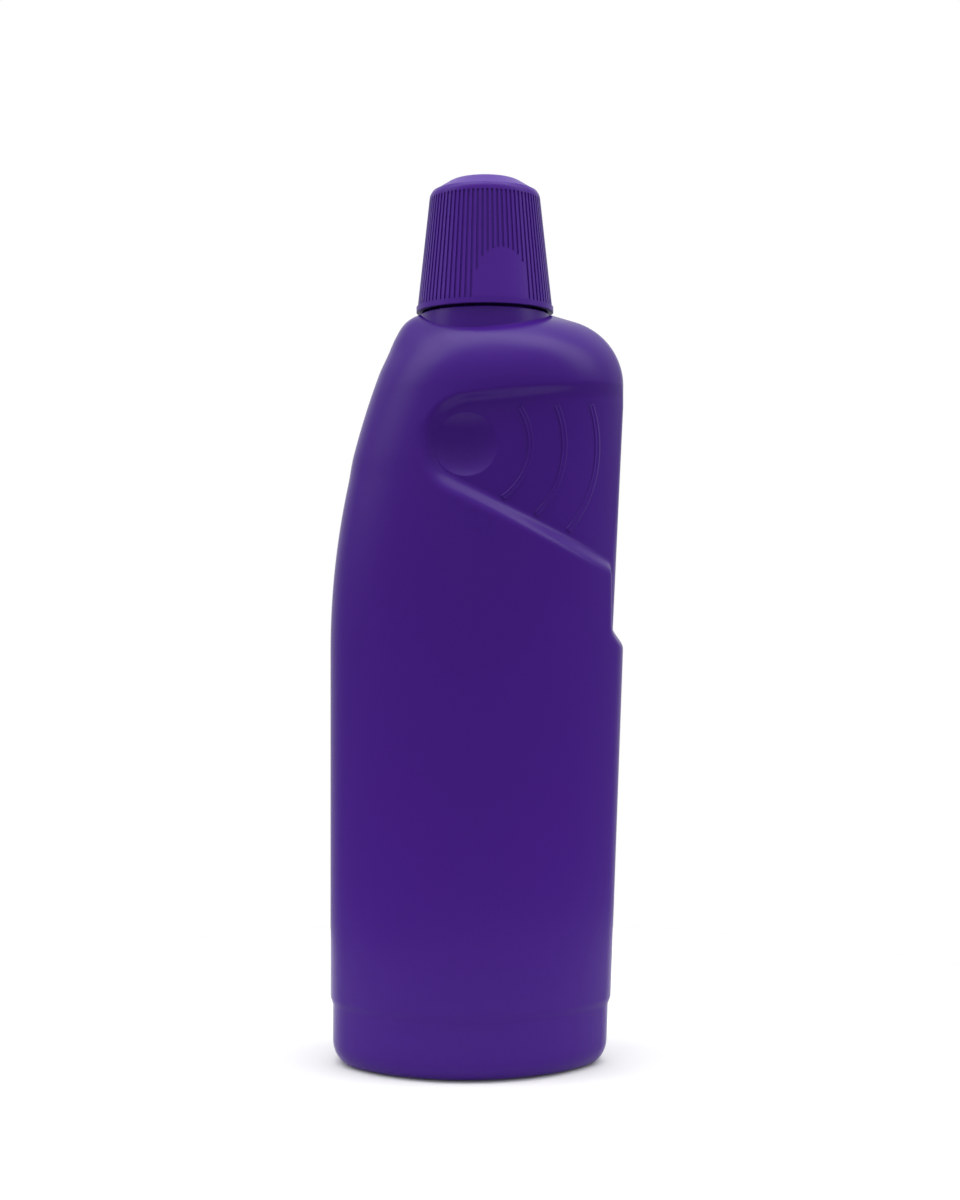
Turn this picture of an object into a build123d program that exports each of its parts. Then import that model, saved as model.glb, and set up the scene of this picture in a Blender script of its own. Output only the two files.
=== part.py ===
from build123d import *
from math import asin, atan, ceil, cos, degrees, radians, sin, sqrt, tan
import os

# Detergent bottle: a blow-moulded bottle, a screw cap and the sealing ring inside the cap.
# Millimetres. X runs across the width, Y through the depth, Z up from the table.
# The front and the back of the bottle are mirror images about the plane Y = 0.

# Body outline, seen from the front
left_x = -47.9              # straight lower part of the bulging side
right_x = 47.9              # upright part of the handle side
body_depth = 62.0
bulge_start = 134.0         # height where the left side starts to curve in
bulge_radius = 258.0
left_corner_radius = 16.5   # the left side turns into the crown of the shoulder
right_corner_drop = 24.0    # from the crown down to where the right side turns in
right_corner_radius = 21.5
shoulder_fall = 17.0        # degrees, fall of the shoulder to the right of the collar
lean_start = 144.0          # below this height the right side leans inwards
lean_slope = 0.036
lean_blend_radius = 400.0
crown_height = 26.65         # rise of the crowned shoulder over the straight front
crown_top = 244.75
ridge_cut = 1.2             # the ridge of the crown ends this far down, inside the collar
crown_shares = [0.25, 0.48, 0.66, 0.8, 0.9, 0.96, 1.0]  # sections, as shares of the crown
section_step = 8.0          # between the sections below the crown
left_nose_share = 0.645     # plan radius of the two narrow sides, as shares of half the depth
right_nose_share = 0.452
wall = 1.1

# Foot of the body
foot_height = 18.5          # the foot is drawn in below this height
foot_band = 3.5             # height of the slope above the foot
foot_inset = 0.8
foot_radius = 8.0
punt_margin = 12.0          # from the foot's side to the hollow under the base
punt_height = 4.0
punt_run = 5.0

# Grip recess on both faces and round the right side
grip_nose_x = -2.4
grip_nose_z = 200.1
grip_nose_radius = 13.5
grip_upper_slope = 8.5      # degrees, upper rim rises to the right
grip_lower_slope = 25.6     # degrees, lower rim falls to the right
grip_top = 216.0            # height where the depths below are counted from
grip_depth_top = 2.6
grip_floor_slope = 0.032    # the recess gets deeper downwards
side_depth_top = 0.5
side_floor_slope = 0.043
grip_rim_round = 0.25
grip_floor_margin = 12.0    # the form of the floor starts this far below the step
grip_floor_step = 10.0
grip_crown_shares = [0.2, 0.35]
tongue_bottom = 138.5       # the side recess runs down to a step here
tongue_share = 0.75         # half of its width, as a share of the right nose's radius
tongue_corner = 7.0

# Thumb dish and the three arc ribs in the recess
dish_x = -3.4
dish_z = 199.6
dish_radius = 10.0
dish_depth = 2.0
dish_margin = 0.6
rib_radii = [20.6, 31.4, 42.3]
rib_width = 1.6
rib_height = 0.7
rib_margin = 3.4            # from the rim of the recess to the ribs' ends

# Collar and neck
neck_x = 2.6
collar_radius = 21.3
collar_top = 243.9
collar_root = 10.0          # the collar starts this far up inside the crown
neck_radius = 12.5
neck_bore_radius = 10.8
neck_height = 19.0
edge_round = 0.4
mouth_round = 0.3

# Thread of the neck and the cap
thread_lead = 4.2
thread_turns = 1.25
thread_height = 1.2
thread_root_width = 2.1
thread_crest_width = 1.0
thread_top_margin = 4.6     # from the mouth down to the end of the neck's thread
thread_clearance = 0.25
thread_bite = 0.3           # depth of the thread's root inside its wall

# Cap
rim_gap = 0.9               # between the collar and the cap
cap_rim_radius = 22.4
cap_band_height = 1.7
cap_band_step = 0.4
cap_cone_top_radius = 18.0
cap_cone_height = 38.0      # from the rim to the top of the ribbed cone
cap_ring_inset = 0.9
cap_ring_rise = 1.4
cap_ring_width = 0.3
cap_dome_slope = 32.0       # degrees
cap_crown_radius = 10.8
cap_crown_rise = 0.5
cap_crown_lip = 0.1         # fall of the crown's flat middle
cap_crown_inset = 1.0
cap_corner_round = 2.5      # at the top of the cone
cap_ring_round = 0.4
cap_crown_round = 6.0
cap_wall = 1.5
cap_skirt_wall = 1.1
cap_skirt_recess = 0.6      # from the cap's rim up to the inner skirt
cap_seat_radius = 11.6
cap_slot_margin = 3.0       # from the top of the cone down to the end of the slot

# Grooves of the cap
groove_count = 76
groove_width = 0.75
groove_depth = 0.45
groove_top_margin = 1.2
groove_overrun = 1.0
arch_angle = 15.5           # degrees to the right of the front
arch_half_width = 8.0
arch_height = 16.3
arch_round = 8.0

# Sealing ring
seal_thickness = 1.2
seal_bore_radius = 10.9
seal_clearance = 0.3

front = -90.0               # degrees, direction of the front round the neck's axis

# Values that follow from the sizes above
half_depth = body_depth / 2
crown_start = crown_top - crown_height
left_corner_z = crown_top - left_corner_radius
right_corner_z = crown_top - right_corner_drop
left_nose_radius = half_depth * left_nose_share
right_nose_radius = half_depth * right_nose_share
tongue_half_width = right_nose_radius * tongue_share
collar_bottom = crown_start + collar_root
mouth_z = collar_top + neck_height
cap_rim_z = collar_top + rim_gap
cap_band_top = cap_rim_z + cap_band_height
cap_cone_top = cap_rim_z + cap_cone_height
cap_cone_bottom_radius = cap_rim_radius - cap_band_step
seat_z = mouth_z + seal_thickness
cap_bore_radius = neck_radius + thread_height + thread_clearance
skirt_z = cap_rim_z + cap_skirt_recess
neck_thread_z = mouth_z - thread_top_margin - thread_lead * thread_turns
lean_angle = atan(lean_slope)
lean_blend_z = lean_start - lean_blend_radius * sin(lean_angle)
reach = body_depth          # cutters run this far past the middle of the body


def left_edge(z, inset=0.0):
    """X of the bulging side: upright, then a large arc, then the shoulder's corner."""
    arc_x = left_x + bulge_radius
    arc_radius = bulge_radius - inset
    turn = asin((left_corner_z - bulge_start) / (bulge_radius - left_corner_radius))
    centre_x = arc_x - (bulge_radius - left_corner_radius) * cos(turn)
    if z <= bulge_start:
        return left_x + inset
    if z <= bulge_start + arc_radius * sin(turn):
        return arc_x - sqrt(arc_radius ** 2 - (z - bulge_start) ** 2)
    return centre_x - sqrt((left_corner_radius - inset) ** 2 - (z - left_corner_z) ** 2)


def right_edge(z, inset=0.0):
    """X of the handle side: leaning, then upright, then the corner and the sloping shoulder."""
    corner_radius = right_corner_radius - inset
    centre_x = right_x - right_corner_radius
    rise = corner_radius * cos(radians(shoulder_fall))
    if z > right_corner_z + rise:
        end_x = centre_x + corner_radius * sin(radians(shoulder_fall))
        return end_x - (z - right_corner_z - rise) / tan(radians(shoulder_fall))
    if z > right_corner_z:
        return centre_x + sqrt(corner_radius ** 2 - (z - right_corner_z) ** 2)
    fall = max(lean_start - z, 0.0)
    blend = lean_start - lean_blend_z
    if fall < blend:
        return right_x - inset - (lean_blend_radius - sqrt(lean_blend_radius ** 2 - fall ** 2))
    drop = lean_blend_radius * (1 - cos(lean_angle)) + (fall - blend) * lean_slope
    return right_x - inset - drop


def depth_at(z, inset=0.0):
    """Half of the body's depth at a height: upright, then the crowned shoulder."""
    if z <= crown_start:
        return half_depth - inset
    share = (z - crown_start) / (crown_height - inset)
    return (half_depth - inset) * sqrt(1 - share ** 2)


def oval_arcs(z, inset=0.0, face_inset=0.0, side_inset=0.0):
    """Circles of the plan oval: left nose, right nose and the two wide arcs of the faces."""
    depth = depth_at(z, inset)
    share = (depth - face_inset) / half_depth
    r_left = left_nose_radius * share
    r_right = right_nose_radius * share
    depth = depth - face_inset
    x_left = left_edge(z, inset) + face_inset + r_left
    x_right = right_edge(z, inset) - side_inset - r_right
    k_left = 1 / (depth - r_left)
    k_right = 1 / (depth - r_right)
    a = k_left - k_right
    b = k_right * x_right - k_left * x_left
    c_left = k_left * (x_left ** 2 + depth ** 2 - r_left ** 2)
    c = c_left - k_right * (x_right ** 2 + depth ** 2 - r_right ** 2)
    centre_x = c / (-b - sqrt(b * b - a * c))
    face_radius = ((centre_x - x_left) ** 2 + depth ** 2 - r_left ** 2) * k_left / 2
    return x_left, r_left, x_right, r_right, centre_x, face_radius, depth


def oval(z, inset=0.0, face_inset=0.0, side_inset=0.0):
    """Plan section of the body: two nose arcs and two face arcs that meet tangentially."""
    arcs = oval_arcs(z, inset, face_inset, side_inset)
    x_left, r_left, x_right, r_right, centre_x, face_radius, depth = arcs
    centre_y = depth - face_radius
    lean_left = r_left / (face_radius - r_left)
    lean_right = r_right / (face_radius - r_right)
    left = (x_left + (x_left - centre_x) * lean_left, -centre_y * lean_left)
    right = (x_right + (x_right - centre_x) * lean_right, -centre_y * lean_right)
    edges = [
        ThreePointArc(left, (x_left - r_left, 0), (left[0], -left[1])),
        ThreePointArc((left[0], -left[1]), (centre_x, -depth), (right[0], -right[1])),
        ThreePointArc((right[0], -right[1]), (x_right + r_right, 0), right),
        ThreePointArc(right, (centre_x, depth), left),
    ]
    return Pos(0, 0, z) * make_face(edges)


def face_y(x, z, face_inset):
    """Distance of the recess floor from the middle plane."""
    arcs = oval_arcs(z, 0.0, face_inset, side_depth(z))
    centre_x, face_radius, depth = arcs[4:]
    return depth - face_radius + sqrt(face_radius ** 2 - (x - centre_x) ** 2)


def grip_depth(z):
    return grip_depth_top + (grip_top - z) * grip_floor_slope


def side_depth(z):
    return side_depth_top + (grip_top - z) * side_floor_slope


def heights(low, high, step):
    """Evenly spaced heights from low to high, no further apart than step."""
    count = ceil((high - low) / step)
    return [low + (high - low) * i / count for i in range(count + 1)]


def body_form(inset):
    """Outer or inner form of the body, drawn in evenly by inset."""
    band_top = foot_height + foot_band
    foot_inner = inset + foot_inset
    foot = loft([oval(inset, foot_inner), oval(foot_height, foot_inner)], ruled=True)
    foot = fillet(foot.edges().group_by(Axis.Z)[0], foot_radius - inset)
    band = loft([oval(foot_height, foot_inner), oval(band_top, inset)], ruled=True)
    straight = loft([oval(band_top, inset), oval(lean_blend_z, inset)], ruled=True)
    top = crown_top - inset - ridge_cut
    levels = heights(lean_blend_z, crown_start, section_step)
    levels += [crown_start + (top - crown_start) * share for share in crown_shares]
    upper = loft([oval(z, inset) for z in levels])
    return foot + band + straight + upper


def recess_core(raise_by=0.0):
    """The form whose surface is the floor of the grip recess, raised or sunk evenly."""
    levels = heights(tongue_bottom - grip_floor_margin, crown_start, grip_floor_step)
    levels += [crown_start + crown_height * share for share in grip_crown_shares]
    sections = []
    for z in levels:
        sections.append(oval(z, 0.0, grip_depth(z) - raise_by, side_depth(z) - raise_by))
    return loft(sections)


def grip_outline(grow=0.0):
    """Front outline of the recess: a round nose that opens into a wedge."""
    radius = grip_nose_radius + grow
    up = radians(grip_upper_slope)
    down = radians(grip_lower_slope)
    top = (grip_nose_x - radius * sin(up), grip_nose_z + radius * cos(up))
    low = (grip_nose_x - radius * sin(down), grip_nose_z - radius * cos(down))
    top_end = (reach, top[1] + (reach - top[0]) * tan(up))
    low_end = (reach, low[1] - (reach - low[0]) * tan(down))
    edges = [
        Line(top_end, top),
        ThreePointArc(top, (grip_nose_x - radius, grip_nose_z), low),
        Line(low, low_end),
        Line(low_end, top_end),
    ]
    return Plane.XZ * make_face(edges)


def grip_prism(grow=0.0):
    """Space of the recess, through both faces and round the right side down to its step."""
    wedge = extrude(grip_outline(grow), reach, both=True)
    height = grip_nose_z - tongue_bottom + grow
    tongue = Box(reach, 2 * (tongue_half_width + grow), height, align=(Align.MIN, Align.CENTER, Align.MIN))
    tongue = Pos(right_x / 2, 0, tongue_bottom - grow) * tongue
    lower_edges = tongue.edges().filter_by(Axis.X).group_by(Axis.Z)[0]
    return wedge + fillet(lower_edges, tongue_corner + grow)


def dish(side, grow=0.0):
    """Thumb dish of one face, square to the floor there and stretched so that its rim is round."""
    radius = (dish_radius ** 2 + dish_depth ** 2) / (2 * dish_depth)
    floor_y = face_y(dish_x, dish_z, grip_depth(dish_z))
    arcs = oval_arcs(dish_z, 0.0, grip_depth(dish_z), side_depth(dish_z))
    centre_x, face_radius = arcs[4:6]
    turn = asin((dish_x - centre_x) / face_radius)
    stretch = sqrt(face_radius / (face_radius - radius))
    ball = scale(Sphere(radius + grow), by=(stretch, 1, 1))
    ball = Rot(-degrees(atan(grip_floor_slope)), 0, -degrees(turn)) * Pos(0, radius - dish_depth, 0) * ball
    limit = Cylinder(dish_radius + dish_margin + grow, 2 * dish_radius, rotation=(90, 0, 0))
    hollow = Pos(dish_x, floor_y, dish_z) * (ball & limit)
    if side < 0:
        return mirror(hollow, about=Plane.XZ)
    return hollow


def arc_ribs():
    """Raised arcs on both floors of the recess, centred on the dish."""
    field = grip_outline(-rib_margin)
    prisms = []
    for radius in rib_radii:
        ring = Circle(radius + rib_width / 2) - Circle(radius - rib_width / 2)
        band = Plane.XZ * Pos(dish_x, dish_z) * ring
        prisms.append(extrude(band & field, reach, both=True))
    raised = recess_core(rib_height)
    sunk = recess_core(-wall / 2)
    return [piece for prism in prisms for piece in ((prism & raised) - sunk).solids()]


def punt(grow=0.0):
    """Hollow under the base, so that the bottle stands on a ring."""
    low = oval(0, foot_inset + punt_margin - grow)
    high = oval(0, foot_inset + punt_margin + punt_run - grow)
    return loft([low, Pos(0, 0, punt_height + grow) * high], ruled=True)


def thread(root_radius, direction, start_z):
    """One helical thread that stands out of a wall, outwards or inwards."""
    height = thread_lead * thread_turns
    path = Helix(thread_lead, height, root_radius)
    inner = root_radius - direction * thread_bite
    crest = root_radius + direction * thread_height
    bite_width = thread_root_width + (thread_root_width - thread_crest_width) * thread_bite / thread_height
    outline = Polyline(
        (inner, -bite_width / 2),
        (crest, -thread_crest_width / 2),
        (crest, thread_crest_width / 2),
        (inner, bite_width / 2),
        close=True,
    )
    profile = Plane.XZ * make_face(outline)
    return Pos(neck_x, 0, start_z) * sweep(profile, path=path, is_frenet=True)


def tube(radius, low, high):
    """Solid cylinder on the neck's axis between two heights."""
    return Pos(neck_x, 0, (low + high) / 2) * Cylinder(radius, high - low)


def bottle():
    form = body_form(0.0)
    cut = grip_prism() - recess_core()
    outer = form - cut
    outer = fillet(new_edges(form, cut, combined=outer), grip_rim_round)
    for side in (-1, 1):
        outer = outer - dish(side)
    collar = tube(collar_radius, collar_bottom, collar_top)
    collar = fillet(collar.edges().group_by(Axis.Z)[-1], edge_round)
    neck = tube(neck_radius, collar_bottom, mouth_z)
    neck = fillet(neck.edges().group_by(Axis.Z)[-1], mouth_round)
    neck = neck + thread(neck_radius, 1, neck_thread_z)
    outer = outer + collar + neck - punt()
    cavity = body_form(wall) - (grip_prism(wall) - recess_core(-wall)) - punt(wall)
    for side in (-1, 1):
        cavity = cavity - dish(side, wall)
    cavity = cavity + tube(collar_radius - wall, collar_bottom + wall, collar_top - wall)
    cavity = cavity + tube(neck_bore_radius, collar_bottom + wall, mouth_z + wall)
    shell = outer - cavity
    for rib in arc_ribs():
        shell = shell + rib
    return shell


def cone_radius(z):
    """Radius of the cap's ribbed cone at a height."""
    share = (z - cap_band_top) / (cap_cone_top - cap_band_top)
    return cap_cone_bottom_radius + (cap_cone_top_radius - cap_cone_bottom_radius) * share


def rounded(section, x, z, radius):
    """Rounds the corner of a half section that lies at this place."""
    corner = section.vertices().sort_by_distance((x, 0, z))[0]
    return section.fillet_2d(radius, [corner])


def cap_profile():
    """Half section of the cap: shell, closed top and the inner skirt that takes the thread."""
    ring_radius = cap_cone_top_radius - cap_ring_inset
    ring_z = cap_cone_top + cap_ring_rise
    dome_radius = ring_radius - cap_ring_width
    crown_z = ring_z + (dome_radius - cap_crown_radius) * tan(radians(cap_dome_slope))
    top_z = crown_z + cap_crown_rise
    slot_top = cap_cone_top - cap_slot_margin
    skirt_radius = cap_bore_radius + cap_skirt_wall
    upper_skirt_radius = cap_seat_radius + cap_skirt_wall
    upper_skirt_z = seat_z + cap_skirt_wall
    outline = Polyline(
        (0, top_z),
        (cap_crown_radius / 2, top_z - cap_crown_lip),
        (cap_crown_radius, crown_z),
        (dome_radius, ring_z),
        (ring_radius, ring_z),
        (cap_cone_top_radius, cap_cone_top),
        (cap_cone_bottom_radius, cap_band_top),
        (cap_rim_radius, cap_band_top),
        (cap_rim_radius, cap_rim_z),
        (cone_radius(cap_rim_z) - cap_wall, cap_rim_z),
        (cone_radius(slot_top) - cap_wall, slot_top),
        (upper_skirt_radius, slot_top),
        (upper_skirt_radius, upper_skirt_z),
        (skirt_radius, upper_skirt_z),
        (skirt_radius, skirt_z),
        (cap_bore_radius, skirt_z),
        (cap_bore_radius, seat_z),
        (cap_seat_radius, seat_z),
        (cap_seat_radius, ring_z - cap_wall),
        (cap_crown_radius - cap_crown_inset, crown_z - cap_wall),
        (0, top_z - cap_wall),
        close=True,
    )
    section = (Plane.XZ * make_face(outline)).face()
    section = rounded(section, cap_cone_top_radius, cap_cone_top, cap_corner_round)
    section = rounded(section, ring_radius, ring_z, cap_ring_round)
    return rounded(section, cap_crown_radius, crown_z, cap_crown_round)


def groove(angle):
    """Cutter for one groove, shortened where it meets the plain arch."""
    offset = (angle - front - arch_angle + 180) % 360 - 180
    along = radians(offset) * cone_radius(cap_band_top + arch_height)
    low = cap_band_top
    if abs(along) < arch_half_width:
        spring = cap_band_top + arch_height - arch_round
        low = spring + arch_round * sqrt(1 - (along / arch_half_width) ** 2)
    high = cap_cone_top - groove_top_margin
    outline = Polyline(
        (cone_radius(low) - groove_depth, low),
        (cone_radius(low) + groove_overrun, low),
        (cone_radius(high) + groove_overrun, high),
        (cone_radius(high) - groove_depth, high),
        close=True,
    )
    blade = extrude(Plane.XZ * make_face(outline), groove_width / 2, both=True)
    return Pos(neck_x, 0, 0) * Rot(0, 0, angle) * blade


def cap():
    shell = revolve(cap_profile(), Axis.Z)
    shell = Pos(neck_x, 0, 0) * shell
    pitch = 360 / groove_count
    shell = shell - [groove(front + pitch * (i + 0.5)) for i in range(groove_count)]
    return shell + thread(cap_bore_radius, -1, neck_thread_z - thread_lead / 2)


def seal():
    ring_radius = cap_bore_radius - seal_clearance
    ring = tube(ring_radius, mouth_z, seat_z) - tube(seal_bore_radius, mouth_z, seat_z)
    return ring


os.makedirs("parts", exist_ok=True)
export_step(bottle(), "parts/bottle.step")
export_step(cap(), "parts/cap.step")
export_step(seal(), "parts/seal_ring.step")
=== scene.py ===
from math import asin, atan2, cos, hypot, pi, radians, sin, sqrt, tan

import bmesh
import bpy
from bpy.props import FloatProperty, FloatVectorProperty, PointerProperty
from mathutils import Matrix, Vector


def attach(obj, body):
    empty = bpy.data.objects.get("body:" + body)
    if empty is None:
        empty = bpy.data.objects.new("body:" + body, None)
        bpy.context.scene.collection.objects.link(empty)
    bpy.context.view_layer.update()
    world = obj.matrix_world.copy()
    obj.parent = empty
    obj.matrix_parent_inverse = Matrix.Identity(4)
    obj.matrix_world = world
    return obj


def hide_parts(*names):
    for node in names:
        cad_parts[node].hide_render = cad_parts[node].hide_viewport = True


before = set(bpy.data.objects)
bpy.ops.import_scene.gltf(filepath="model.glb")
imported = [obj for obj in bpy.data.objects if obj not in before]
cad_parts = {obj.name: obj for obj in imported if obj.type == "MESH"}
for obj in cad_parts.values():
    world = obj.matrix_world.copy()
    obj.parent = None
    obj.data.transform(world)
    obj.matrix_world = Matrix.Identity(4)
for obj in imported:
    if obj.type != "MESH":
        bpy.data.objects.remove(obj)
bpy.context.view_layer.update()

bl_info = {
    "name": "Detergent bottle",
    "version": (1, 0, 0),
    "blender": (4, 5, 0),
    "location": "View3D > Sidebar > Bottle",
    "description": "Dresses the packed bottle, cap and seal and sets up the studio",
    "category": "Object",
}


MM = 0.001
CREASE = radians(60.0)
MERGE = 1e-7

# Form of the bottle's outer skin, in millimetres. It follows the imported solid, but for a rounder
# foot, a fuller left shoulder, softer rims, a deeper thumb dish and the edges of the ribs.
LEFT_X, RIGHT_X, HALF_DEPTH = -47.9, 47.9, 31.0
BULGE_START, BULGE_RADIUS = 134.0, 258.0
CROWN_TOP, CROWN_HEIGHT, CROWN_CUT = 244.75, 26.65, 1.2
LEFT_CORNER_RADIUS, RIGHT_CORNER_RADIUS, RIGHT_CORNER_DROP = 16.5, 21.5, 24.0
SHOULDER_FALL = radians(17.0)
LEAN_START, LEAN_SLOPE, LEAN_RADIUS = 144.0, 0.036, 400.0
LEFT_NOSE, RIGHT_NOSE = 0.645, 0.452
FOOT_HEIGHT, FOOT_BAND, FOOT_INSET = 18.5, 3.5, 0.8
FOOT_ROUND_WIDTH, FOOT_ROUND_HEIGHT = 5.6, 7.5
PUNT_MARGIN, PUNT_RUN, PUNT_HEIGHT = 12.0, 5.0, 4.0
GRIP_X, GRIP_Z, GRIP_TOP = -2.4, 200.1, 216.0
GRIP_UP, GRIP_DOWN = radians(8.5), radians(25.6)
GRIP_DEPTH, GRIP_SLOPE = 2.6, 0.032
FLOOR_NOSE_LOW, FLOOR_NOSE_START, FLOOR_NOSE_RUN = 0.9, 158.0, 24.0
TONGUE_BOTTOM, TONGUE_CORNER, TONGUE_FADE = 138.5, 6.0, 4.0
GRIP_REACH, TONGUE_REACH = 14.0, 10.0
SHOULDER_SWELL, SHOULDER_SWELL_START, SHOULDER_SWELL_RUN = 1.6, 236.0, 9.0
SIDE_SWELL, SIDE_SWELL_START, SIDE_SWELL_RISE = 0.45, 188.0, 10.0
SIDE_SWELL_END, SIDE_SWELL_FALL = 232.0, 8.0
DISH_X, DISH_Z, DISH_RADIUS, DISH_LIFT = -3.4, 199.6, 10.0, 0.02
RIB_RADII, RIB_WIDTH, RIB_HEIGHT = (20.3, 31.1, 42.0), 1.6, 0.4
NECK_X, COLLAR_RADIUS, COLLAR_TOP, COLLAR_FOOT = 2.6, 21.3, 243.9, 229.0
NECK_RADIUS, NECK_BORE, MOUTH_Z, BORE_DEPTH = 12.5, 10.8, 262.9, 8.0
COLLAR_ROUND, MOUTH_ROUND, BORE_ROUND = 0.4, 0.3, 0.1
THREAD_LEAD, THREAD_TURNS, THREAD_HEIGHT, THREAD_TOP = 4.2, 1.25, 1.2, 4.6
CROWN_START = CROWN_TOP - CROWN_HEIGHT
LEFT_CORNER_Z = CROWN_TOP - LEFT_CORNER_RADIUS
RIGHT_CORNER_Z = CROWN_TOP - RIGHT_CORNER_DROP

# Shares of each rim's slope that are rounded at its outer and at its inner line.
UPPER_ENDS, LOWER_ENDS, NOSE_ENDS = (0.2, 0.65), (0.5, 0.2), (0.35, 0.35)

# Across a rib: offset as a share of its width, and height as a share of its height.
RIB_EDGE = [(0.66, -0.25), (0.56, 0.2), (0.46, 0.7), (0.38, 1.0), (0.28, 0.85), (0.18, 0.55)]
RIB_PROFILE = [(-offset, height) for offset, height in RIB_EDGE] + RIB_EDGE[::-1]
# Over a rib's end: millimetres along it, and the height that its profile is cut down to.
RIB_END = [(-0.4, -0.3), (-0.4, 0.45), (-0.3, 0.8), (0.0, 1.0)]
# Across the thread: how far out, as a share of its height or in millimetres into the neck, and
# millimetres up or down from its middle.
THREAD_PROFILE = [(-0.3, -1.15), (1.0, -0.5), (1.0, 0.5), (-0.3, 1.15)]

# Spacing of the skin's rows and columns where they are wider or finer than the grip's cell.
WIDE_STEP, FOOT_STEP, BAND_STEP, BODY_STEP = 2.0, 2.5, 0.35, 6.0
SHOULDER_STEP, CROWN_STEP = 0.6, 0.3
FINE_BELOW, FINE_ABOVE, CROWN_FINE = 6.0, 12.0, 4.0
# Rough lengths along the section, which only set how many columns each part of it gets.
FACE_ENDS, LEFT_END, GRIP_MARGIN, LEFT_ARC, RIGHT_ARC = 24.0, 11.0, 19.0, 40.0, 26.0
DISH_STEPS, RIB_STEPS, NECK_STEPS, THREAD_STEPS, THREAD_RUNOUT = 96, 56, 128, 120, 12.0
FLOOR_STEPS = 96


def ease(share):
    """0 below 0, 1 above 1, and a smooth step between."""
    share = min(max(share, 0.0), 1.0)
    return share * share * (3.0 - 2.0 * share)


def ramped(share, start, end):
    """0 to 1 along a straight slope whose two ends are rounded over those shares."""
    share = min(max(share, 0.0), 1.0)
    area = 1.0 - (start + end) / 2.0
    if share < start:
        return share * share / (2.0 * start) / area
    if share > 1.0 - end:
        return 1.0 - (1.0 - share) ** 2 / (2.0 * end) / area
    return (share - start / 2.0) / area


def spread(low, high, step):
    """Values from low up to, but without, high, about that step apart."""
    count = max(round(abs(high - low) / step), 1)
    return [low + (high - low) * i / count for i in range(count)]


def blended(middle, upper, lower, to_upper, to_lower):
    """Value between the one at the nose's middle and those of the two rims that run on."""
    return middle + (upper - middle) * to_upper + (lower - middle) * to_lower


def left_edge(z, inset):
    """Left outline of the bottle: straight, then the bulge, then the shoulder's corner."""
    turn = asin((LEFT_CORNER_Z - BULGE_START) / (BULGE_RADIUS - LEFT_CORNER_RADIUS))
    arc_x = LEFT_X + BULGE_RADIUS
    if z <= BULGE_START:
        return LEFT_X + inset
    if z <= BULGE_START + (BULGE_RADIUS - inset) * sin(turn):
        return arc_x - sqrt((BULGE_RADIUS - inset) ** 2 - (z - BULGE_START) ** 2)
    centre_x = arc_x - (BULGE_RADIUS - LEFT_CORNER_RADIUS) * cos(turn)
    return centre_x - sqrt((LEFT_CORNER_RADIUS - inset) ** 2 - (z - LEFT_CORNER_Z) ** 2)


def right_edge(z, inset):
    """Right outline: leaning in at the foot, straight, the corner, then the shoulder's fall."""
    radius = RIGHT_CORNER_RADIUS - inset
    centre_x = RIGHT_X - RIGHT_CORNER_RADIUS
    rise = z - RIGHT_CORNER_Z
    if rise > radius * cos(SHOULDER_FALL):
        end_x = centre_x + radius * sin(SHOULDER_FALL)
        return end_x - (rise - radius * cos(SHOULDER_FALL)) / tan(SHOULDER_FALL)
    if rise > 0.0:
        return centre_x + sqrt(radius ** 2 - rise ** 2)
    lean = atan2(LEAN_SLOPE, 1.0)
    fall = max(LEAN_START - z, 0.0)
    blend = LEAN_RADIUS * sin(lean)
    if fall < blend:
        return RIGHT_X - inset - LEAN_RADIUS + sqrt(LEAN_RADIUS ** 2 - fall ** 2)
    return RIGHT_X - inset - LEAN_RADIUS * (1.0 - cos(lean)) - (fall - blend) * LEAN_SLOPE


def oval(z, inset=0.0, face_inset=0.0, side_inset=0.0, nose_share=1.0):
    """Arcs of the plan section: the two noses, the face's centre and radius, and the joints."""
    depth = HALF_DEPTH - inset
    if z > CROWN_START:
        depth = depth * sqrt(1.0 - ((z - CROWN_START) / (CROWN_HEIGHT - inset)) ** 2)
    share = (depth - face_inset) / HALF_DEPTH
    r_left = LEFT_NOSE * HALF_DEPTH * share
    r_right = RIGHT_NOSE * HALF_DEPTH * share * nose_share
    depth = depth - face_inset
    swell = SHOULDER_SWELL * ease((z - SHOULDER_SWELL_START) / SHOULDER_SWELL_RUN)
    side_swell = SIDE_SWELL * ease((z - SIDE_SWELL_START) / SIDE_SWELL_RISE)
    swell = swell + side_swell * ease((SIDE_SWELL_END - z) / SIDE_SWELL_FALL)
    x_left = left_edge(z, inset) - swell + face_inset + r_left
    x_right = right_edge(z, inset) - side_inset - r_right
    k_left, k_right = 1.0 / (depth - r_left), 1.0 / (depth - r_right)
    a = k_left - k_right
    b = k_right * x_right - k_left * x_left
    c = k_left * (x_left ** 2 + depth ** 2 - r_left ** 2)
    c = c - k_right * (x_right ** 2 + depth ** 2 - r_right ** 2)
    centre_x = c / (-b - sqrt(b * b - a * c))
    radius = ((centre_x - x_left) ** 2 + depth ** 2 - r_left ** 2) * k_left / 2.0
    return x_left, r_left, x_right, r_right, centre_x, radius, depth - radius


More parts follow.
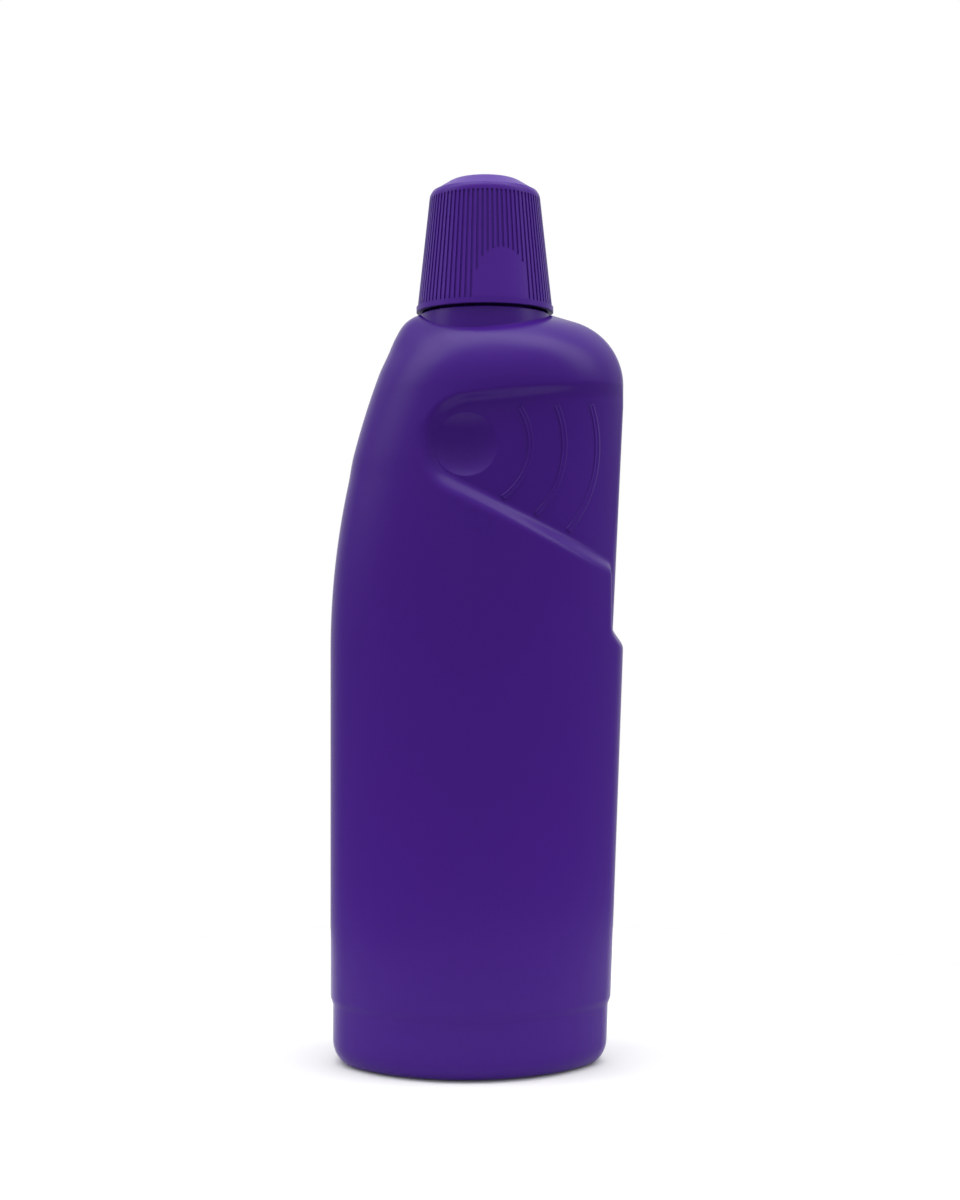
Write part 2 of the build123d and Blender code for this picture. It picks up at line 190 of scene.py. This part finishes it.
def column_point(arcs, column):
    """Point of the section in one column; a column is an arc's name and the share along it."""
    x_left, r_left, x_right, r_right, centre_x, radius, centre_y = arcs
    arc, share = column
    lean_left = atan2(-centre_y, x_left - centre_x)
    lean_right = atan2(-centre_y, x_right - centre_x)
    if arc == "right":
        turn = lean_right * (2.0 * share - 1.0)
        return x_right + r_right * cos(turn), r_right * sin(turn)
    if arc == "left":
        turn = lean_left + (2.0 * pi - 2.0 * lean_left) * share
        return x_left + r_left * cos(turn), r_left * sin(turn)
    low = centre_x + radius * cos(lean_left)
    high = centre_x + radius * cos(lean_right)
    if arc == "back":
        share = 1.0 - share
    x = low + (high - low) * share
    y = centre_y + sqrt(radius ** 2 - (x - centre_x) ** 2)
    return x, (y if arc == "back" else -y)


def floor_arcs(z, settings):
    """Section of the recess floor: deeper downwards, flush at the top of the narrow side."""
    side = max(settings.side_fall * (GRIP_TOP - settings.side_start / MM - z), 0.0)
    share = ease((z - FLOOR_NOSE_START) / FLOOR_NOSE_RUN)
    nose = FLOOR_NOSE_LOW - (FLOOR_NOSE_LOW - settings.floor_nose) * share
    return oval(z, 0.0, GRIP_DEPTH + (GRIP_TOP - z) * GRIP_SLOPE, side, nose)


def grip_share(x, y, z, settings):
    """How far a point of the skin is let into the recess: 0 outside, 1 on its floor."""
    dx, dz = x - GRIP_X, z - GRIP_Z
    upper = dz * cos(GRIP_UP) - dx * sin(GRIP_UP)
    lower = -dz * cos(GRIP_DOWN) - dx * sin(GRIP_DOWN)
    along_upper = dx * cos(GRIP_UP) + dz * sin(GRIP_UP)
    along_lower = dx * cos(GRIP_DOWN) - dz * sin(GRIP_DOWN)
    bands = (settings.rim_upper, settings.rim_lower, settings.rim_nose)
    (up_in, up_out), (low_in, low_out), (nose_in, nose_out) = [[v / MM for v in b] for b in bands]
    if along_upper < 0.0 and along_lower < 0.0:
        turn = atan2(dz, -dx)
        to_upper = ease(turn / (pi / 2 - GRIP_UP))
        to_lower = ease(-turn / (pi / 2 - GRIP_DOWN))
        inner = blended(nose_in, up_in, low_in, to_upper, to_lower)
        inner = inner + 4.0 * to_lower * (1.0 - to_lower) * settings.nose_swell / MM
        outer = blended(nose_out, up_out, low_out, to_upper, to_lower)
        start, end = (blended(*ends, to_upper, to_lower)
                      for ends in zip(NOSE_ENDS, UPPER_ENDS, LOWER_ENDS))
        return ramped((outer - hypot(dx, dz)) / (outer - inner), start, end)
    up_in = up_in - settings.rim_taper[0] * max(along_upper, 0.0)
    up_out = up_out - settings.rim_taper[1] * max(along_upper, 0.0)
    share = ramped((up_out - upper) / (up_out - up_in), *UPPER_ENDS)
    share = share * ramped((low_out - lower) / (low_out - low_in), *LOWER_ENDS)
    if x < 0.5 * RIGHT_X:
        return share
    corner = TONGUE_CORNER
    out_y = max(abs(y) - settings.tongue_half_width / MM + corner, 0.0)
    out_z = max(TONGUE_BOTTOM - z + corner, 0.0)
    past = hypot(out_y, out_z) - corner
    width = settings.tongue_rim / MM * (1.0 + settings.step_length * ease(out_z / corner))
    tongue = ease(0.5 - past / width) * ease((GRIP_Z - z) / TONGUE_FADE)
    return 1.0 - (1.0 - share) * (1.0 - tongue)


def skin_point(row, column, settings):
    """Place of one vertex of the bottle's outer skin."""
    z, inset = row
    x, y = column_point(oval(z, inset), column)
    if not GRIP_TOP + GRIP_REACH > z > TONGUE_BOTTOM - TONGUE_REACH:
        return x, y, z
    share = grip_share(x, y, z, settings)
    if share <= 0.0:
        return x, y, z
    floor_x, floor_y = column_point(floor_arcs(z, settings), column)
    dish = hypot(floor_x - DISH_X, z - DISH_Z) / DISH_RADIUS
    if dish < 1.0:
        depth = (settings.dish_depth * (1.0 - dish ** 2) + settings.dish_sink) / MM
        floor_y = floor_y + (depth if floor_y < 0.0 else -depth)
    return x + (floor_x - x) * share, y + (floor_y - y) * share, z


def floor_point(radius, turn, settings, lift):
    """Place on the recess floor, round the dish's centre and lifted out by that much."""
    x, z = DISH_X + radius * cos(turn), DISH_Z + radius * sin(turn)
    centre_x, arc_radius, centre_y = floor_arcs(z, settings)[4:]
    return x, -(centre_y + sqrt(arc_radius ** 2 - (x - centre_x) ** 2)) - lift, z


def rounded(radius, top, size):
    """Outline over an outer corner, rounded in two cuts."""
    cut = 0.3 * size
    return [(radius, top - size), (radius - cut, top - cut), (radius - size, top)]


def sheet(bm, columns, rows, place, mirror=False):
    """Grid of columns by rows cells whose corners go where place(i, j) says."""
    made = bmesh.ops.create_grid(bm, x_segments=columns, y_segments=rows, size=0.5)["verts"]
    for vert in made:
        i = round((vert.co.x + 0.5) * columns)
        j = round((vert.co.y + 0.5) * rows)
        x, y, z = place(i, j)
        vert.co = Vector((x, -y if mirror else y, z)) * MM


def turned(bm, outline, steps):
    """Spins an outline of (radius, height) pairs round the neck's axis."""
    verts = [bm.verts.new(Vector((NECK_X + r, 0.0, z)) * MM) for r, z in outline]
    edges = [bm.edges.new(pair) for pair in zip(verts, verts[1:])]
    bmesh.ops.spin(
        bm, geom=verts + edges, cent=Vector((NECK_X, 0.0, 0.0)) * MM, axis=(0.0, 0.0, 1.0),
        angle=2.0 * pi, steps=steps, use_merge=True,
    )


def finished(name, bm):
    """Turns a bmesh into a smooth object with creases at the sharper edges."""
    bmesh.ops.remove_doubles(bm, verts=bm.verts, dist=MERGE)
    bmesh.ops.recalc_face_normals(bm, faces=bm.faces)
    mesh = bpy.data.meshes.new(name)
    bm.to_mesh(mesh)
    bm.free()
    for face in mesh.polygons:
        face.use_smooth = True
    mesh.set_sharp_from_angle(angle=CREASE)
    piece = bpy.data.objects.new(name, mesh)
    bpy.context.scene.collection.objects.link(piece)
    return piece


class Field:
    """A number in a node tree that can be used in sums like a plain number."""

    def __init__(self, board, socket):
        self.board = board
        self.socket = socket

    def math(self, operation, *others):
        node = self.board.node("ShaderNodeMath", operation=operation)
        for place, value in zip(node.inputs, (self,) + others):
            self.board.feed(place, value)
        return Field(self.board, node.outputs[0])

    def __add__(self, other):
        return self.math("ADD", other)

    def __sub__(self, other):
        return self.math("SUBTRACT", other)

    def __rsub__(self, other):
        return (self * -1.0) + other

    def __mul__(self, other):
        return self.math("MULTIPLY", other)

    def size(self):
        return self.math("ABSOLUTE")

    def ramp(self, low, high):
        """0 below low, 1 above high and a smooth step between them."""
        inputs = {"Value": self, "From Min": low, "From Max": high}
        node = self.board.node("ShaderNodeMapRange", inputs, interpolation_type="SMOOTHSTEP")
        return Field(self.board, node.outputs["Result"])

    __radd__ = __add__
    __rmul__ = __mul__


class Board:
    """A node tree with one way to add nodes, and the coordinates that its fields read."""

    def __init__(self, tree, coordinates):
        self.tree = tree
        self.place = self.node("ShaderNodeTexCoord").outputs[coordinates]
        split = self.node("ShaderNodeSeparateXYZ", {"Vector": self.place})
        self.x, self.y, self.z = (Field(self, output) for output in split.outputs)

    def node(self, kind, inputs=None, **settings):
        """Adds one node; inputs are values, sockets or fields by socket name."""
        made = self.tree.nodes.new(kind)
        for name, value in settings.items():
            setattr(made, name, value)
        for name, value in (inputs or {}).items():
            self.feed(made.inputs[name], value)
        return made

    def feed(self, place, value):
        if isinstance(value, Field):
            value = value.socket
        if isinstance(value, bpy.types.NodeSocket):
            self.tree.links.new(value, place)
        else:
            place.default_value = value


class Surface(Board):
    """A material in the making: its node tree, its shader and the object's coordinates."""

    def __init__(self, name):
        self.material = bpy.data.materials.new(name)
        self.material.use_nodes = True
        super().__init__(self.material.node_tree, "Object")
        self.shader = self.tree.nodes["Principled BSDF"]

    def noise(self, feature, stretch=(1.0, 1.0, 1.0), detail=3.0, rough=0.5):
        """Noise from -1 to 1 whose features are about that many metres wide."""
        scale = tuple(part / feature for part in stretch)
        where = self.node("ShaderNodeMapping", {"Vector": self.place, "Scale": scale})
        inputs = {"Vector": where.outputs[0], "Scale": 1.0, "Detail": detail, "Roughness": rough}
        made = self.node("ShaderNodeTexNoise", inputs)
        return Field(self, made.outputs["Fac"]) * 2.0 - 1.0

    def tint(self, base, other, share):
        """Colour that goes from base to other as share goes from 0 to 1."""
        mix = self.node("ShaderNodeMix", data_type="RGBA", clamp_factor=True)
        self.feed(mix.inputs["Factor"], share)
        mix.inputs[6].default_value = (*base, 1.0)
        mix.inputs[7].default_value = (*other, 1.0)
        return mix.outputs[2]

    def relief(self, height):
        """Bump from a height field in metres."""
        bump = self.node("ShaderNodeBump", {"Height": height, "Strength": 1.0, "Distance": 1.0})
        self.feed(self.shader.inputs["Normal"], bump.outputs[0])

    def set(self, **values):
        for name, value in values.items():
            self.feed(self.shader.inputs[name.replace("_", " ")], value)


class PlasticSettings(bpy.types.PropertyGroup):
    """Looks of the moulded plastic of the bottle and the cap."""

    body_colour: FloatVectorProperty(
        name="Bottle colour", description="Base colour of the blow-moulded bottle",
        default=(0.048, 0.0083, 0.199), min=0.0, max=1.0, subtype="COLOR",
    )
    cap_colour: FloatVectorProperty(
        name="Cap colour", description="Base colour of the injection-moulded cap",
        default=(0.067, 0.0145, 0.255), min=0.0, max=1.0, subtype="COLOR",
    )
    body_roughness: FloatProperty(
        name="Bottle roughness", description="Mean roughness of the satin bottle",
        default=0.25, min=0.0, max=1.0, subtype="FACTOR",
    )
    cap_roughness: FloatProperty(
        name="Cap roughness", description="Mean roughness of the cap",
        default=0.34, min=0.0, max=1.0, subtype="FACTOR",
    )
    gloss: FloatProperty(
        name="Gloss", description="Strength of the reflections of both plastics",
        default=0.125, min=0.0, max=1.0, subtype="FACTOR",
    )
    bloom: FloatProperty(
        name="Bloom", description="Soft glow of the plastic where it turns away",
        default=0.08, min=0.0, max=1.0, subtype="FACTOR",
    )
    grain_size: FloatProperty(
        name="Grain size", description="Width of the fine texture of the mould",
        default=0.0007, min=0.0001, max=0.01, unit="LENGTH",
    )
    grain_depth: FloatProperty(
        name="Grain depth", description="Height of the fine texture of the mould",
        default=0.000004, min=0.0, max=0.001, unit="LENGTH", precision=6,
    )


class GripSettings(bpy.types.PropertyGroup):
    """Rims of the grip recess; each band runs from its inner to its outer line."""

    rim_upper: FloatVectorProperty(
        name="Upper rim", description="Inner and outer line, from the nose's middle",
        size=2, default=(0.0121, 0.0154), unit="LENGTH",
    )
    rim_taper: FloatVectorProperty(
        name="Upper rim taper",
        description="How fast its inner and outer line come down to the right",
        size=2, default=(0.075, 0.036), min=0.0, max=0.3,
    )
    rim_lower: FloatVectorProperty(
        name="Lower rim", description="Inner and outer line, from the nose's middle",
        size=2, default=(0.0125, 0.0175), unit="LENGTH",
    )
    rim_nose: FloatVectorProperty(
        name="Nose rim", description="Inner and outer radius of the rounded end",
        size=2, default=(0.0124, 0.0156), unit="LENGTH",
    )
    nose_swell: FloatProperty(
        name="Nose swell",
        description="How far the inner line of the nose's rim swells at its lower left",
        default=0.0011, min=0.0, max=0.003, unit="LENGTH", precision=5,
    )
    tongue_half_width: FloatProperty(
        name="Side half width", description="Half the width of the recess on the narrow side",
        default=0.009, min=0.002, max=0.012, unit="LENGTH",
    )
    tongue_rim: FloatProperty(
        name="Side rim", description="Width of the rim round the recess on the narrow side",
        default=0.0036, min=0.0005, max=0.01, unit="LENGTH",
    )
    floor_nose: FloatProperty(
        name="Nose of the recess",
        description="Radius of its narrow side as a share of the bottle's",
        default=0.6, min=0.2, max=1.0,
    )
    step_length: FloatProperty(
        name="Side step", description="How much longer the rim is at the lower step",
        default=1.0, min=0.0, max=3.0,
    )
    rib_margin: FloatVectorProperty(
        name="Rib margins",
        description="From the inner lines of the rims to the ribs' upper and lower ends",
        size=2, default=(0.0024, 0.0017), min=0.0, max=0.01, unit="LENGTH",
    )
    side_start: FloatProperty(
        name="Side start", description="Depth of the level where the narrow side starts to fall in",
        default=0.002, min=0.0, max=0.05, unit="LENGTH",
    )
    side_fall: FloatProperty(
        name="Side fall", description="How fast the narrow side falls in downwards",
        default=0.047, min=0.0, max=0.2,
    )
    dish_depth: FloatProperty(
        name="Dish depth", description="Depth of the thumb dish in its middle",
        default=0.0034, min=0.0005, max=0.005, unit="LENGTH", precision=5,
    )
    dish_sink: FloatProperty(
        name="Dish bed", description="How far the skin lies under the thumb dish",
        default=0.0003, min=0.0, max=0.002, unit="LENGTH", precision=5,
    )
    cell: FloatProperty(
        name="Cell", description="Width of the skin's cells on the grip",
        default=0.0007, min=0.0003, max=0.01, unit="LENGTH", precision=5,
    )


class StudioSettings(bpy.types.PropertyGroup):
    """The camera and the light."""

    camera_place: FloatVectorProperty(
        name="Camera", description="Where the camera stands",
        default=(0.001, -0.600, 0.1508), unit="LENGTH", subtype="TRANSLATION",
    )
    camera_lens: FloatProperty(
        name="Lens", description="Focal length in mm for a picture whose long side is 36 mm",
        default=54.96, min=10.0, max=200.0,
    )
    floor_radius: FloatProperty(
        name="Floor", description="Radius of the round white table",
        default=0.25, min=0.1, max=5.0, unit="LENGTH",
    )
    floor_glow: FloatProperty(
        name="Floor glow", description="Light that comes through the table from below",
        default=0.02, min=0.0, max=5.0,
    )
    tent_light: FloatProperty(
        name="Tent", description="Light from all round",
        default=0.41, min=0.0, max=10.0,
    )
    sky_light: FloatProperty(
        name="Sky", description="Light added from above on every side",
        default=0.6, min=0.0, max=10.0,
    )
    back_light: FloatProperty(
        name="Back", description="Light added from behind the object",
        default=0.15, min=0.0, max=10.0,
    )
    arch_light: FloatProperty(
        name="Arch", description="Light of the arch from side to side over the object",
        default=3.4, min=0.0, max=20.0,
    )
    arch_width: FloatProperty(
        name="Arch width", description="Half width of the arch, as a share of its radius",
        default=0.31, min=0.2, max=1.0,
    )
    arch_lean: FloatProperty(
        name="Arch lean", description="How far the arch leans to the camera",
        default=0.07, min=-1.0, max=1.0,
    )
    top_light: FloatProperty(
        name="Top light", description="Strength of the wide light from above",
        default=0.6, min=0.0, max=20.0,
    )
    top_width: FloatProperty(
        name="Top light width", description="Angle that the light from above fills",
        default=radians(56.0), min=0.0, max=pi, subtype="ANGLE",
    )
    top_lean: FloatProperty(
        name="Top light lean", description="How far the light from above leans to the camera",
        default=0.05, min=-2.0, max=2.0,
    )


def plastic(name, colour, depth, roughness, settings):
    """Satin moulded plastic with fine grain; its clouds darken the colour down to that share."""
    surface = Surface(name)
    deep = tuple(part * depth for part in colour)
    cloud = surface.noise(0.045, (1.0, 1.0, 0.45), 2.0)
    flow = surface.noise(0.006, (1.0, 1.0, 0.12), 2.0)
    grain = surface.noise(settings.grain_size, detail=2.0, rough=0.6)
    surface.set(
        Base_Color=surface.tint(colour, deep, cloud * 0.3 + flow * 0.15 + 0.5),
        Roughness=cloud * 0.02 + grain * 0.03 + roughness,
        Specular_IOR_Level=settings.gloss,
        IOR=1.5,
        Sheen_Weight=settings.bloom,
        Sheen_Roughness=0.3,
        Sheen_Tint=(0.62, 0.38, 1.0, 1.0),
    )
    surface.relief(grain * settings.grain_depth)
    return surface


def dress(node, surface):
    """Gives a CAD node its finished material."""
    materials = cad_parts[node].data.materials
    materials.clear()
    materials.append(surface.material)


class BottleOperator(bpy.types.Operator):
    """Build the finely moulded skin of the bottle with its grip, neck and thread"""

    bl_idname = "bottle.dress_bottle"
    bl_label = "Bottle"

    def execute(self, context):
        settings = context.scene.bottle_plastic
        grip = context.scene.bottle_grip
        bm = bmesh.new()
        self.add_skin(bm, grip)
        for mirror in (False, True):
            self.add_dish(bm, grip, mirror)
            for radius in RIB_RADII:
                self.add_rib(bm, grip, radius, mirror)
        self.add_neck(bm)
        self.add_thread(bm)
        piece = finished("bottle_skin", bm)
        colour = tuple(settings.body_colour)
        surface = plastic("bottle_finish", colour, 0.92, settings.body_roughness, settings)
        piece.data.materials.append(surface.material)
        dress("bottle", surface)
        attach(piece, "bottle")
        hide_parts("bottle")
        return {"FINISHED"}

    def rows(self, cell):
        """Heights and insets of the rows, from the middle of the base to the crown."""
        band_top = FOOT_HEIGHT + FOOT_BAND
        grip_low, grip_high = TONGUE_BOTTOM - FINE_BELOW, GRIP_TOP + FINE_ABOVE
        crown_low, crown_high = CROWN_TOP - CROWN_FINE, CROWN_TOP - CROWN_CUT
        rows = [(PUNT_HEIGHT, FOOT_INSET + PUNT_MARGIN + PUNT_RUN)]
        rows += [(PUNT_HEIGHT * (1.0 - ease(t)), FOOT_INSET + PUNT_MARGIN + PUNT_RUN * (1.0 - t))
                 for t in spread(0.1, 1.0, 0.1)]
        rows += [(0.0, FOOT_INSET + inset)
                 for inset in spread(PUNT_MARGIN, FOOT_ROUND_WIDTH, WIDE_STEP)]
        for turn in spread(0.0, pi / 2, pi / 24):
            inset = FOOT_INSET + FOOT_ROUND_WIDTH * (1.0 - sin(turn))
            rows.append((FOOT_ROUND_HEIGHT * (1.0 - cos(turn)), inset))
        rows += [(z, FOOT_INSET) for z in spread(FOOT_ROUND_HEIGHT, FOOT_HEIGHT, FOOT_STEP)]
        rows += [(z, FOOT_INSET * (1.0 - ease((z - FOOT_HEIGHT) / FOOT_BAND)))
                 for z in spread(FOOT_HEIGHT, band_top, BAND_STEP)]
        for low, high, step in (
            (band_top, grip_low, BODY_STEP), (grip_low, grip_high, cell),
            (grip_high, crown_low, SHOULDER_STEP), (crown_low, crown_high, CROWN_STEP),
        ):
            rows += [(z, 0.0) for z in spread(low, high, step)]
        return rows + [(crown_high, 0.0)]

    def columns(self, cell):
        """Arc and share of each column, once round the section."""
        width = RIGHT_X - LEFT_X - FACE_ENDS
        split = (GRIP_X - GRIP_MARGIN - LEFT_X - LEFT_END) / width
        face = spread(0.0, split, WIDE_STEP / width) + spread(split, 1.0, cell / width)
        columns = [("front", share) for share in face]
        columns += [("right", share) for share in spread(0.0, 1.0, cell / RIGHT_ARC)]
        back = [("back", 1.0 - share) for share in face[1:]]
        columns += [("back", 0.0)] + back[::-1]
        return columns + [("left", share) for share in spread(0.0, 1.0, WIDE_STEP / LEFT_ARC)]

    def add_skin(self, bm, settings):
        """Outer skin with the recess let in, closed in the base's hollow and below the collar."""
        rows = self.rows(settings.cell / MM)
        columns = self.columns(settings.cell / MM)
        columns.append(columns[0])
        sheet(bm, len(columns) - 1, len(rows) - 1,
              lambda i, j: skin_point(rows[j], columns[i], settings))
        bmesh.ops.remove_doubles(bm, verts=bm.verts, dist=MERGE)
        bmesh.ops.holes_fill(bm, edges=bm.edges, sides=0)

    def add_dish(self, bm, settings, mirror):
        """Thumb dish with a crisp edge, on a thin flange that follows the floor."""
        rings = [share * DISH_RADIUS for share in spread(0.0, 0.97, 0.05)]
        rings += [DISH_RADIUS + past for past in (-0.25, -0.08, 0.08, 0.3, 1.4)]

        def place(i, j):
            radius, turn = rings[j], 2.0 * pi * i / DISH_STEPS
            depth = settings.dish_depth / MM * max(1.0 - (radius / DISH_RADIUS) ** 2, 0.0)
            return floor_point(radius, turn, settings, DISH_LIFT - depth)

        sheet(bm, DISH_STEPS, len(rings) - 1, place, mirror)

    def add_rib(self, bm, settings, radius, mirror):
        """Arc with a raised line along each edge, sunk a little into the floor."""
        low, high = self.rib_ends(radius, settings)
        ends = len(RIB_END)
        last = RIB_STEPS + 2 * ends

        def place(i, j):
            offset, height = RIB_PROFILE[j]
            if i < ends:
                along, limit = RIB_END[i]
            elif i > last - ends:
                along, limit = RIB_END[last - i]
                along = -along
            else:
                along, limit = 0.0, 1.0
            share = min(max((i - ends + 1) / (last - 2 * ends + 2), 0.0), 1.0)
            turn = low + (high - low) * share + along / radius
            lift = RIB_HEIGHT * min(height, limit)
            return floor_point(radius + RIB_WIDTH * offset, turn, settings, lift)

        sheet(bm, last, len(RIB_PROFILE) - 1, place, mirror)

    def rib_ends(self, radius, settings):
        """Turns where an arc about the dish meets the inner lines of the rims, less a margin."""
        upper = settings.rim_upper[0] - settings.rib_margin[0]
        lower = settings.rim_lower[0] - settings.rib_margin[1]
        ends = []
        for side, lean, rim, taper in (
            (1, GRIP_UP, upper, settings.rim_taper[0]), (-1, -GRIP_DOWN, lower, 0.0)
        ):
            reach = rim / MM - taper * radius
            offset = side * ((DISH_Z - GRIP_Z) * cos(lean) - (DISH_X - GRIP_X) * sin(lean))
            ends.append(lean + side * asin((reach - offset) / radius))
        return ends[1], ends[0]

    def add_neck(self, bm):
        """Collar, neck and bore in one turned outline."""
        outline = [(COLLAR_RADIUS, COLLAR_FOOT)] + rounded(COLLAR_RADIUS, COLLAR_TOP, COLLAR_ROUND)
        outline += [(NECK_RADIUS, COLLAR_TOP)] + rounded(NECK_RADIUS, MOUTH_Z, MOUTH_ROUND)
        outline += [(NECK_BORE + BORE_ROUND, MOUTH_Z), (NECK_BORE, MOUTH_Z - BORE_ROUND)]
        turned(bm, outline + [(NECK_BORE, COLLAR_TOP - BORE_DEPTH)], NECK_STEPS)

    def add_thread(self, bm):
        """Helical thread with run-outs at both ends."""
        start = MOUTH_Z - THREAD_TOP - THREAD_LEAD * THREAD_TURNS

        def place(i, j):
            share = i / THREAD_STEPS
            rise = ease(share * THREAD_RUNOUT) * ease((1.0 - share) * THREAD_RUNOUT)
            out, half = THREAD_PROFILE[j]
            radius = NECK_RADIUS + (out * THREAD_HEIGHT * rise if out > 0 else out)
            turn = 2.0 * pi * THREAD_TURNS * share
            z = start + THREAD_LEAD * THREAD_TURNS * share + half * (0.5 + 0.5 * rise)
            return NECK_X + radius * cos(turn), radius * sin(turn), z

        sheet(bm, THREAD_STEPS, len(THREAD_PROFILE) - 1, place)


class CapOperator(bpy.types.Operator):
    """Finish the ribbed screw cap"""

    bl_idname = "bottle.dress_cap"
    bl_label = "Cap"

    def execute(self, context):
        settings = context.scene.bottle_plastic
        colour = tuple(settings.cap_colour)
        surface = plastic("cap_finish", colour, 0.94, settings.cap_roughness, settings)
        dress("cap", surface)
        return {"FINISHED"}


class SealOperator(bpy.types.Operator):
    """Finish the foamed sealing ring inside the cap"""

    bl_idname = "bottle.dress_seal"
    bl_label = "Seal"

    def execute(self, context):
        surface = Surface("seal_finish")
        cells = surface.noise(0.0004, detail=4.0, rough=0.7)
        surface.set(
            Base_Color=surface.tint((0.72, 0.71, 0.68), (0.6, 0.59, 0.56), cells * 0.5 + 0.5),
            Roughness=cells * 0.1 + 0.8,
        )
        surface.relief(cells * 0.00003)
        dress("seal_ring", surface)
        return {"FINISHED"}


class StudioOperator(bpy.types.Operator):
    """Build the floor, the light and the camera"""

    bl_idname = "bottle.build_studio"
    bl_label = "Studio"

    def execute(self, context):
        settings = context.scene.bottle_studio
        self.add_floor(context, settings)
        self.add_tent(context, settings)
        self.add_top_light(context, settings)
        self.add_camera(context, settings)
        context.scene.view_settings.view_transform = "Standard"
        return {"FINISHED"}

    def add_floor(self, context, settings):
        bm = bmesh.new()
        bmesh.ops.create_circle(
            bm, cap_ends=True, segments=FLOOR_STEPS, radius=settings.floor_radius,
        )
        floor = finished("floor", bm)
        surface = Surface("floor_finish")
        cloud = surface.noise(0.5)
        surface.set(
            Base_Color=surface.tint((0.72, 0.72, 0.72), (0.71, 0.71, 0.71), cloud * 0.5 + 0.5),
            Roughness=0.9,
            Specular_IOR_Level=0.1,
            Emission_Color=(1.0, 1.0, 1.0, 1.0),
            Emission_Strength=settings.floor_glow,
        )
        floor.data.materials.append(surface.material)

    def add_tent(self, context, settings):
        """Soft light all round, and an arch of light from side to side over the object."""
        world = bpy.data.worlds.new("tent")
        context.scene.world = world
        world.use_nodes = True
        world.node_tree.nodes.clear()
        board = Board(world.node_tree, "Generated")
        across = 1.0 - (board.y + settings.arch_lean).size().ramp(0.1, settings.arch_width)
        arch = across * board.z.ramp(0.0, 0.85) * settings.arch_light
        sky = board.z.ramp(-0.3, 1.0) * settings.sky_light
        back = board.y.ramp(0.3, 0.9) * settings.back_light
        light = arch + sky + back + settings.tent_light
        seen = Field(board, board.node("ShaderNodeLightPath").outputs["Is Camera Ray"])
        glow = board.node("ShaderNodeBackground", {
            "Color": (1.0, 1.0, 1.0, 1.0), "Strength": light * (1.0 - seen) + seen,
        })
        board.node("ShaderNodeOutputWorld", {"Surface": glow.outputs[0]})

    def add_top_light(self, context, settings):
        light = bpy.data.lights.new("top_light", "SUN")
        light.energy = settings.top_light
        light.angle = settings.top_width
        lamp = bpy.data.objects.new("top_light", light)
        source = Vector((0.0, -settings.top_lean, 1.0))
        lamp.rotation_euler = source.to_track_quat("Z", "Y").to_euler()
        context.scene.collection.objects.link(lamp)

    def add_camera(self, context, settings):
        data = bpy.data.cameras.new("camera")
        data.lens = settings.camera_lens
        data.sensor_width = 36.0
        data.clip_start = 0.01
        camera = bpy.data.objects.new("camera", data)
        camera.location = settings.camera_place
        camera.rotation_euler = (radians(90.0), 0.0, 0.0)
        context.scene.collection.objects.link(camera)
        context.scene.camera = camera


class BottlePanel(bpy.types.Panel):
    """Sidebar panel with the settings and one button for each piece"""

    bl_idname = "VIEW3D_PT_bottle"
    bl_label = "Detergent bottle"
    bl_space_type = "VIEW_3D"
    bl_region_type = "UI"
    bl_category = "Bottle"

    def draw(self, context):
        layout = self.layout
        scene = context.scene
        for group in (scene.bottle_plastic, scene.bottle_grip, scene.bottle_studio):
            box = layout.box()
            for name in group.bl_rna.properties.keys():
                if name not in ("rna_type", "name"):
                    box.prop(group, name)
        for operator in OPERATORS:
            layout.operator(operator.bl_idname)


OPERATORS = (BottleOperator, CapOperator, SealOperator, StudioOperator)
CLASSES = (PlasticSettings, GripSettings, StudioSettings) + OPERATORS + (BottlePanel,)


def register():
    for kind in CLASSES:
        bpy.utils.register_class(kind)
    bpy.types.Scene.bottle_plastic = PointerProperty(type=PlasticSettings)
    bpy.types.Scene.bottle_grip = PointerProperty(type=GripSettings)
    bpy.types.Scene.bottle_studio = PointerProperty(type=StudioSettings)


def unregister():
    del bpy.types.Scene.bottle_studio
    del bpy.types.Scene.bottle_grip
    del bpy.types.Scene.bottle_plastic
    for kind in reversed(CLASSES):
        bpy.utils.unregister_class(kind)


def main():
    register()
    bpy.ops.bottle.dress_bottle()
    bpy.ops.bottle.dress_cap()
    bpy.ops.bottle.dress_seal()
    bpy.ops.bottle.build_studio()


if __name__ == "__main__":
    main()
